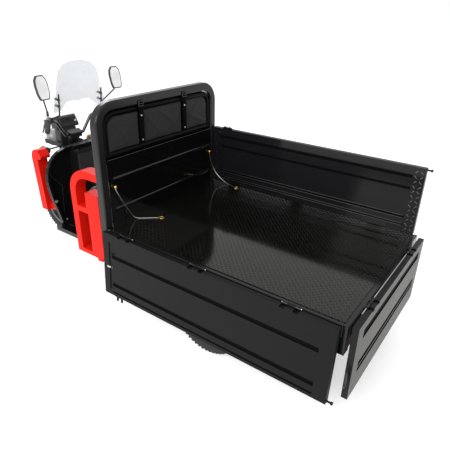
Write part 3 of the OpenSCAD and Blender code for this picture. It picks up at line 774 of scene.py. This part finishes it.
def pad(name, finish, low, high, big_edges, cap, replaced, held=None):
    bm = bmesh.new()
    low, high = Vector(low), Vector(high)
    bmesh.ops.create_cube(bm, size=1, matrix=Matrix.Translation((low + high) / 2)
                          @ Matrix.Diagonal((*(high - low), 1)))
    for radius, test in big_edges:
        picked = [e for e in bm.edges if test((e.verts[0].co + e.verts[1].co) / 2)]
        bmesh.ops.bevel(bm, geom=picked, offset=radius, segments=8, affect="EDGES",
                        profile=0.5, material=-1)
    piece = add_piece(name, bm, finish, "chassis", replaced, 180)
    inflate(piece, cap, held)
    piece.data.shade_smooth()
    if not piece.data.materials:
        piece.data.materials.append(finish)
    return piece


def soften(piece):
    round_off = piece.modifiers.new("soft", "SUBSURF")
    round_off.levels = round_off.render_levels = 1


pad_low, pad_high, pad_out = 1.0113, 1.2257, 0.4477
pad_plane, pad_inset, pad_half = 0.071, 0.005, 0.0135
split_near, split_far = 0.1895, 0.1905
pad_spans = {"right": (-pad_out, -split_far), "middle": (-split_near, split_near),
             "left": (split_far, pad_out)}
pad_folds = {
    "right": [((-0.22, 1.06), (-0.34, 1.20)), ((-0.43, 1.04), (-0.24, 1.12))],
    "middle": [((0.17, 1.21), (0.02, 1.05)), ((0.06, 1.21), (-0.10, 1.10)),
               ((-0.17, 1.16), (0.02, 1.03))],
    "left": [((0.42, 1.20), (0.28, 1.04)), ((0.21, 1.20), (0.38, 1.06))],
}


def outer_top(p):
    """True on the edge across a pad's upper outer corner."""
    at_corner = abs(abs(p.y) - pad_out + pad_inset) < 0.001 and p.z > pad_high - 0.006
    return at_corner and abs(p.x - pad_plane) < 0.001


def around(p):
    """True on the edges of a pad's two faces."""
    return abs(p.x - pad_plane) > 0.012


for name, (y0, y1) in pad_spans.items():
    low = (pad_plane - pad_half, y0 + pad_inset, pad_low + pad_inset)
    high = (pad_plane + pad_half, y1 - pad_inset, pad_high - pad_inset)
    piece = pad("backrest_pad_" + name, pad_cloth, low, high,
                [(0.062, outer_top), (0.009, around)], 0.007, ["backrest_pads"])

    def to_seam(p, y0=y0, y1=y1):
        inset = min(p.y - y0, y1 - p.y, p.z - pad_low, pad_high - p.z)
        return inset - 0.019

    sew(piece, 0.0025, 0.004, to_seam)
    crease(piece, pad_folds[name], 0.004, 0.011)
    soften(piece)

seat_foot, seat_crown = 0.6063, 0.690
cushion = pad("seat_pad", seat_vinyl, (0.123, -0.352, seat_foot),
              (0.437, 0.352, seat_crown),
              [(0.036, lambda p: abs(p.z - 0.648) < 0.01),
               (0.022, lambda p: p.z > seat_crown - 0.001)],
              0.014, ["seat_cushion"], lambda p: 1.0 if p.z < 0.615 else 0.0)


def to_border(p):
    """Distance to the seam that runs inside the seat's rim."""
    inset = min(p.x - 0.115, 0.445 - p.x, 0.36 - abs(p.y))
    return inset - 0.05 if p.z > 0.66 else 1.0


def to_middle(p):
    """Distance to the seam across the seat's middle."""
    return p.y if p.z > 0.66 and abs(p.x - 0.28) < 0.115 else 1.0


sew(cushion, 0.004, 0.005, to_border)
sew(cushion, 0.003, 0.005, to_middle)
for vert in cushion.data.vertices:
    vert.co.z = max(vert.co.z, 0.606)
soften(cushion)

# %% [markdown]
# ## Straps
# Two straps of flat webbing hold the backrest to the arch. A strap is a thin
# block cut into short lengths, which waver a little, with a buckle at the top
# and two domed rivets.

# %% Straps
strap_y, strap_plane, strap_middle = 0.19, 0.0436, 1.154
buckle_plane, buckle_middle = 0.0402, 1.258
for side, name in ((1, "left"), (-1, "right")):
    bm = bmesh.new()
    block(bm, (0.0026, 0.034, 0.246),
          Matrix.Translation((strap_plane, side * strap_y, strap_middle)), 0.0009, 2)
    long_edges = [e for e in bm.edges if abs(e.verts[0].co.z - e.verts[1].co.z) > 0.2]
    bmesh.ops.subdivide_edges(bm, edges=long_edges, cuts=40, use_grid_fill=True)
    for vert in bm.verts:
        vert.co.x -= 0.0005 * (1 + math.sin(38 * vert.co.z + side))
    strap = add_piece("backrest_strap_" + name, bm, strap_web, "chassis",
                      ["backrest_straps"])
    bm = bmesh.new()
    buckle = Matrix.Translation((buckle_plane, side * strap_y, buckle_middle))
    for dz in (-0.014, 0.0, 0.014):
        block(bm, (0.004, 0.042, 0.005), buckle @ Matrix.Translation((0, 0, dz)), 0.0012)
    for dy in (-0.0185, 0.0185):
        block(bm, (0.004, 0.005, 0.033), buckle @ Matrix.Translation((0, dy, 0)), 0.0012)
    add_piece("strap_buckle_" + name, bm, black_plastic, "chassis",
              ["backrest_straps"])
bm = bmesh.new()
for side in (1, -1):
    for z in (1.19, 1.047):
        rivet(bm, (0.0412, side * strap_y, z), (-1, 0, 0), 0.006, 0.55)
add_piece("strap_rivets", bm, steel, "chassis")

# %% [markdown]
# ## Backrest sleeve
# A padded sleeve wraps the tube around the pads, so no light shows between
# the pads and their frame. A circle is carried round the frame's outline:
# straight runs are extruded, and each bend is spun about its own centre. Two
# strips of the dark strap webbing back the splits between the pads; their tone,
# darker than the pads, is partly painted shade in the splits.

# %% Backrest sleeve
sleeve_radius, sleeve_bend = 0.018, 0.072
sleeve_half, sleeve_low, sleeve_top = 0.4530, 1.0045, 1.2305
bm = bmesh.new()
bmesh.ops.create_circle(bm, segments=24, radius=sleeve_radius,
                        matrix=Matrix.Translation((pad_plane, sleeve_half, sleeve_low)))
ring = bm.edges[:]


def run_on(ring, step):
    """Draw a ring of edges along and return the new ring."""
    grown = bmesh.ops.extrude_edge_only(bm, edges=ring)["geom"]
    verts = [v for v in grown if isinstance(v, bmesh.types.BMVert)]
    bmesh.ops.translate(bm, vec=step, verts=verts)
    return [e for e in grown if isinstance(e, bmesh.types.BMEdge) and e.is_boundary]


def bend_on(ring, centre):
    """Spin a ring of edges a quarter turn about X and return the new ring."""
    end = bmesh.ops.spin(bm, geom=ring, cent=centre, axis=(1, 0, 0), angle=math.radians(90),
                         steps=12, use_duplicate=False)["geom_last"]
    return [e for e in end if isinstance(e, bmesh.types.BMEdge)]


bend_y, bend_z = sleeve_half - sleeve_bend, sleeve_top - sleeve_bend
ring = run_on(ring, (0, 0, bend_z - sleeve_low))
ring = bend_on(ring, (pad_plane, bend_y, bend_z))
ring = run_on(ring, (0, -2 * bend_y, 0))
ring = bend_on(ring, (pad_plane, -bend_y, bend_z))
run_on(ring, (0, 0, sleeve_low - bend_z))
bmesh.ops.holes_fill(bm, edges=[e for e in bm.edges if e.is_boundary], sides=0)
lathe(bm, [(0, 0.935), (0.018, 0.934), (0.0188, 0.93), (0.0188, 0.005), (0.018, 0.001),
           (0, 0)], aim((pad_plane, -0.4675, sleeve_low), (0, 1, 0)), 24, False)
bmesh.ops.recalc_face_normals(bm, faces=bm.faces[:])
add_piece("backrest_sleeve", bm, rest_paint, "chassis")
# Dark webbing behind the splits, partly painted shade between the pads.
bm = bmesh.new()
for side in (1, -1):
    block(bm, (0.006, 0.064, 0.226),
          Matrix.Translation((pad_plane, side * strap_y, 1.1175)), 0.002, 1)
add_piece("pad_backing", bm, strap_web, "chassis")
# A thin light metal bead on the bulkhead's top edge: a painted highlight line.
bm = bmesh.new()
block(bm, (0.0022, 0.936, 0.0022), Matrix.Translation((0.0447, 0, 0.9848)), 0.0006, 1)
add_piece("bulkhead_bead", bm, wear_and_highlight_metal, "chassis")

# %% [markdown]
# ## Handlebar grips
# A grip is a ribbed rubber tube with a flange at one end and a closed cap at
# the other. Its section is written once and spun about the bar.

# %% Grips
grip_length = 0.1298
rib_count, rib_start, rib_pitch, rib_foot, rib_top = 15, 0.012, 0.0072, 0.0168, 0.0177
bar_radius, bar_end = 0.0113, grip_length - 0.0024
grip_line = [(0, bar_end), (bar_radius, bar_end), (bar_radius, 0), (0.019, 0),
             (0.0205, 0.0015), (0.0205, 0.0045), (0.0172, 0.008)]
for k in range(rib_count):
    t = rib_start + rib_pitch * k
    grip_line += [(rib_foot, t), (rib_top, t + 0.0014), (rib_top, t + 0.0036),
                  (rib_foot, t + 0.005)]
grip_line += [(0.0172, grip_length - 0.006), (0.0165, grip_length - 0.002),
              (0.012, grip_length), (0, grip_length)]
bm = bmesh.new()
for side in (1, -1):
    near = Vector((0.910, side * 0.232, 1.046))
    far = Vector((0.774, side * 0.341, 1.000))
    lathe(bm, grip_line, aim(near.lerp(far, 0.3), far - near), 32, False)
add_piece("ribbed_grips", bm, grip_rubber, "steering", ["grips"])

# %% [markdown]
# ## Lamps and dash
# A chrome bezel frames the headlamp and amber domes close the indicators. The
# dash carries a dark display, two push buttons and a key switch, all blank.

# %% Lamps and dash
bm = bmesh.new()
lathe(bm, [(0.0588, 0.0005), (0.0588, 0.006), (0.061, 0.009), (0.065, 0.008), (0.0675, 0.004),
           (0.0675, -0.006), (0.0664, -0.006), (0.0664, 0.0003)],
      aim((1.232, 0, 0.818), (1, 0, 0)), 64)
add_piece("headlamp_bezel", bm, chrome, "steering")
bm = bmesh.new()
for side in (1, -1):
    lathe(bm, [(0, 0.012), (0.012, 0.0108), (0.02, 0.007), (0.0272, 0.002), (0.0272, -0.014),
               (0.0262, -0.0145), (0.0262, 0)],
          aim((1.0751, side * 0.212, 0.795), (1, 0, 0)), 32, False)
add_piece("indicator_lenses", bm, amber_lens, "steering")
dash_face = aim((1.044, 0, 0.976), (-0.857, 0, 0.514))
display_row, button_x = 0.002, 0.078
key_place = dash_face @ Matrix.Translation((button_x, -0.016, 0))
bm = bmesh.new()
block(bm, (0.122, 0.052, 0.008),
      dash_face @ Matrix.Translation((0, display_row, 0.003)), 0.003, 3)
for x in (-button_x, button_x):
    lathe(bm, [(0, 0.007), (0.007, 0.0066), (0.0085, 0.005), (0.0085, 0), (0, 0)],
          dash_face @ Matrix.Translation((x, 0.012, 0)), 24, False)
add_piece("dash_bezel", bm, black_plastic, "steering")
bm = bmesh.new()
block(bm, (0.104, 0.037, 0.002),
      dash_face @ Matrix.Translation((0, display_row, 0.0068)), 0.0008)
add_piece("dash_display", bm, gloss_plastic, "steering")
bm = bmesh.new()
lathe(bm, [(0.0035, 0.002), (0.0035, 0.006), (0.0085, 0.006), (0.0105, 0.004), (0.0105, 0),
           (0.0035, 0)], key_place, 32)
block(bm, (0.0016, 0.006, 0.004), key_place @ Matrix.Translation((0, 0, 0.003)))
add_piece("key_switch", bm, chrome, "steering")

# %% [markdown]
# ## Steering cover and mirror boots
# Under the dash a black cover hides the top of the fork, and a rubber boot
# with a nut below it closes the foot of each mirror's stem. The cover is one
# box with a wide bevel, and the boots are turned.

# %% Steering cover and mirror boots
bm = bmesh.new()
block(bm, (0.074, 0.150, 0.134), Matrix.Translation((1.066, 0, 0.856)), 0.014, 3)
add_piece("steering_cover", bm, black_plastic, "steering")
boots, nuts = bmesh.new(), bmesh.new()
for side in (1, -1):
    stem = aim((0.910, side * 0.232, 1.066), (0, 0, 1))
    lathe(boots, [(0.0053, 0.032), (0.0075, 0.030), (0.0085, 0.004), (0.0105, 0.002),
                  (0.0105, 0), (0.0053, 0)], stem, 24)
    lathe(nuts, [(0.0083, -0.001), (0.0125, -0.001), (0.0125, -0.011), (0.0083, -0.011)],
          stem, 6)
add_piece("mirror_boots", boots, grip_rubber, "steering")
add_piece("mirror_nuts", nuts, chrome, "steering")

# %% [markdown]
# ## Leg shield ridges
# The shield's inner face has a rolled ridge inside its rim, a crease across
# and a straight edge down to the foot floor. Each is a thin round bead, half
# sunk in the sheet, and steel bolts hold the foot of the shield.

# %% Leg shield ridges
shield_face, ridge_radius = 0.8355, 0.003
ridge = [(0.205, 0.829), (0.252, 0.821), (0.289, 0.795), (0.321, 0.746), (0.334, 0.699),
         (0.323, 0.667), (0.252, 0.580), (0.263, 0.442), (0.266, 0.330)]
ridges, bolts = bmesh.new(), bmesh.new()
for side in (1, -1):
    for (y0, z0), (y1, z1) in zip(ridge, ridge[1:]):
        start = Vector((shield_face, side * y0, z0))
        reach = Vector((shield_face, side * y1, z1)) - start
        lathe(ridges, [(0, reach.length + 0.001), (ridge_radius, reach.length),
                       (ridge_radius, 0), (0, -0.001)], aim(start, reach), 12, False)
    for x, y, z in ((0.836, 0.255, 0.314), (0.812, 0.331, 0.490)):
        bolt(bolts, (x, side * y, z), (-1, 0, 0), 0.007)
add_piece("shield_ridges", ridges, gloss_plastic, "chassis")
add_piece("shield_bolts", bolts, steel, "chassis")

# %% [markdown]
# ## Bed hardware
# A latch bolt and its knob sit at the front end of the left side, a steel rod
# runs along the tailgate's hinge, and a headed pin stands in each hinge of the
# left side. A point on that side is found from its hinge: so far down the
# panel, so far out from it.


# %% Bed hardware
def on_left_side(x, down, out):
    lean_sin, lean_cos = math.sin(side_lean), math.cos(side_lean)
    return Vector((x, hinge_out + down * lean_sin + out * lean_cos,
                   hinge_height - down * lean_cos + out * lean_sin))


gate_axis, rod_half, rod_radius = (-1.45, 0.0, hinge_height), 0.4, 0.0028
bed_front, bed_length = 0.045, 1.46
hinge_places = [bed_front - share * bed_length for share in (0.118, 0.472, 0.838)]
latch_down = 0.213
pin_half = [(0, 0.0515), (0.0026, 0.051), (0.0035, 0.049), (0.0035, 0.0475), (0.0028, 0.047)]
pin_line = pin_half + [(r, -t) for r, t in reversed(pin_half)]
out_way = on_left_side(0, 0, 1) - on_left_side(0, 0, 0)
bm = bmesh.new()
lathe(bm, [(0, 0.014), (0.0045, 0.014), (0.006, 0.0125), (0.006, -0.0125), (0.0045, -0.014),
           (0, -0.014)], aim(on_left_side(-0.010, latch_down, 0.0335), (1, 0, 0)), 24, False)
add_piece("latch_bolt", bm, chrome, "left_side")
bm = bmesh.new()
lathe(bm, [(0, 0.004), (0.008, 0.004), (0.0105, 0.002), (0.0105, -0.002), (0, -0.002)],
      aim(on_left_side(-0.030, latch_down, 0.030), out_way), 24, False)
add_piece("latch_knob", bm, black_plastic, "left_side")
bm = bmesh.new()
lathe(bm, [(0, rod_half), (rod_radius, rod_half), (rod_radius, -rod_half), (0, -rod_half)],
      aim(gate_axis, (0, 1, 0)), 16, False)
for x in hinge_places:
    lathe(bm, pin_line, aim((x, hinge_out, hinge_height), (1, 0, 0)), 20, False)
add_piece("hinge_pins", bm, steel, "chassis")

# %% [markdown]
# ## Raised lozenges
# A strip at each end of the closed side has lozenges that lean left and right
# by turns. Each is a flattened ball, set on the panel's inner face; the rear
# ones are bare worn metal, whose light tone is partly a painted highlight. Four
# thin beads run along the foot of the same face, in light metal as painted
# highlight lines, and a flat leaf covers each hinge.

# %% Raised lozenges
row_count, row_pitch, row_start = 13, 0.0292, 0.612
lozenge_shape = Matrix.Diagonal((0.012, 0.0014, 0.0026, 1))
# The rear lozenges' light metal is bare wear and partly a painted highlight.
for end, x0, finish in (("rear", -1.378, wear_and_highlight_metal), ("front", 0.004, right_paint)):
    bm = bmesh.new()
    for row in range(row_count):
        for column, lean in ((-0.015, 1), (0.015, -1)):
            place = Matrix.Translation((x0 + column, -0.5002, row_start + row_pitch * row))
            turn = Matrix.Rotation(math.radians(45 * lean * (1 if row % 2 else -1)), 4, "Y")
            bmesh.ops.create_uvsphere(bm, u_segments=16, v_segments=8, radius=1,
                                      matrix=place @ turn @ lozenge_shape)
    add_piece("side_lozenges_" + end, bm, finish, "right_side")
# Light metal beads, standing as painted highlight lines.
bm = bmesh.new()
for z in (0.630, 0.643, 0.677, 0.694):
    block(bm, (1.30, 0.0024, 0.0026), Matrix.Translation((-0.687, -0.5001, z)), 0.0008, 1)
add_piece("side_beads", bm, wear_and_highlight_metal, "right_side")
bm = bmesh.new()
for x in hinge_places:
    block(bm, (0.150, 0.0018, 0.030), Matrix.Translation((x, -0.4998, 0.608)), 0.0008, 1)
add_piece("hinge_leaves", bm, black_paint, "right_side")

# %% [markdown]
# ## Tailgate hook
# A hook and two short bars hang at the tailgate's left end. They are bent
# from round rod, so each is a row of short cylinders along its points.

# %% Tailgate hook
hook_x, hook_radius, bar_rod = -1.4655, 0.0042, 0.003
hook = [(0.523, 0.355), (0.526, 0.34), (0.523, 0.32), (0.521, 0.295), (0.524, 0.28),
        (0.531, 0.276), (0.535, 0.283)]
bm = bmesh.new()
for z in (0.355, 0.330):
    lathe(bm, [(0, 0.026), (bar_rod, 0.026), (bar_rod, 0), (0, 0)],
          aim((hook_x, 0.4995, z), (0, 1, 0)), 16, False)
for start, end in zip(hook, hook[1:]):
    foot = Vector((hook_x, *start))
    reach = Vector((hook_x, *end)) - foot
    lathe(bm, [(0, reach.length + 0.002), (hook_radius, reach.length + 0.001),
               (hook_radius, -0.001), (0, -0.002)], aim(foot, reach), 16, False)
add_piece("tailgate_hook", bm, black_plastic, "tailgate")

# %% [markdown]
# ## Fasteners
# Two U-bolts clamp each leaf spring to its pad on the axle. Each is a pair
# of rods with a bar across their tops.

# %% Fasteners
axle_x, spring_y, rod_out, rod_apart = -0.645, 0.29, 0.046, 0.034
bm = bmesh.new()
for side in (1, -1):
    for dx in (-rod_out, rod_out):
        for dy in (-rod_apart, rod_apart):
            rod = Matrix.Translation((axle_x + dx, side * spring_y + dy, 0.277))
            bmesh.ops.create_cone(bm, cap_ends=True, segments=16, radius1=0.0045,
                                  radius2=0.0045, depth=0.085, matrix=rod)
    for dx in (-rod_out, rod_out):
        block(bm, (0.009, 0.077, 0.006),
              Matrix.Translation((axle_x + dx, side * spring_y, 0.3185)), 0.002)
add_piece("spring_u_bolts", bm, steel, "chassis")

# %% [markdown]
# ## Stay cables
# Two steel stay cables hang from the bulkhead. Each is one curve along the
# same points as its solid: down from the anchor, a bend at the floor, and a
# short run along it to its ring.

# %% Stay cables
stay_radius = 0.0025
stay_routes = {
    "stay_cable_left": [
        (33, 440, 812), (32, 436, 800), (29, 424, 770), (26, 408, 736), (22, 391, 702),
        (18, 374, 668), (14, 357, 636), (11, 344, 614), (7, 334, 602), (1, 325, 596),
        (-8, 317, 593.8), (-20, 307, 593.4), (-38, 291, 593.4), (-56, 275, 593.4),
        (-74, 259, 593.4), (-92, 243, 593.4)],
    "stay_cable_right": [
        (33, -440, 812), (33, -445, 790), (33, -452, 766), (32.5, -461, 742),
        (31, -471, 718), (27, -480, 695), (19, -485, 673), (7, -487, 655), (-9, -488, 641),
        (-27, -488, 629), (-46, -488, 618), (-66, -487, 608), (-86, -486, 600.5),
        (-106, -485, 595.8), (-124, -484, 593.9), (-138, -481.5, 593.4),
        (-152, -477, 593.4), (-166, -472, 593.4)],
}
for name, route in stay_routes.items():
    points = [Vector(p) / 1000 for p in route]
    data = bpy.data.curves.new(name, "CURVE")
    data.dimensions = "3D"
    data.bevel_depth = stay_radius
    data.bevel_resolution = 3
    spline = data.splines.new("POLY")
    spline.points.add(len(points) - 1)
    for knot, p in zip(spline.points, points):
        knot.co = (*p, 1)
    data.materials.append(steel)
    cable = bpy.data.objects.new(name, data)
    bpy.context.scene.collection.objects.link(cable)
    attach(cable, "chassis")
    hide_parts("stay_cables")
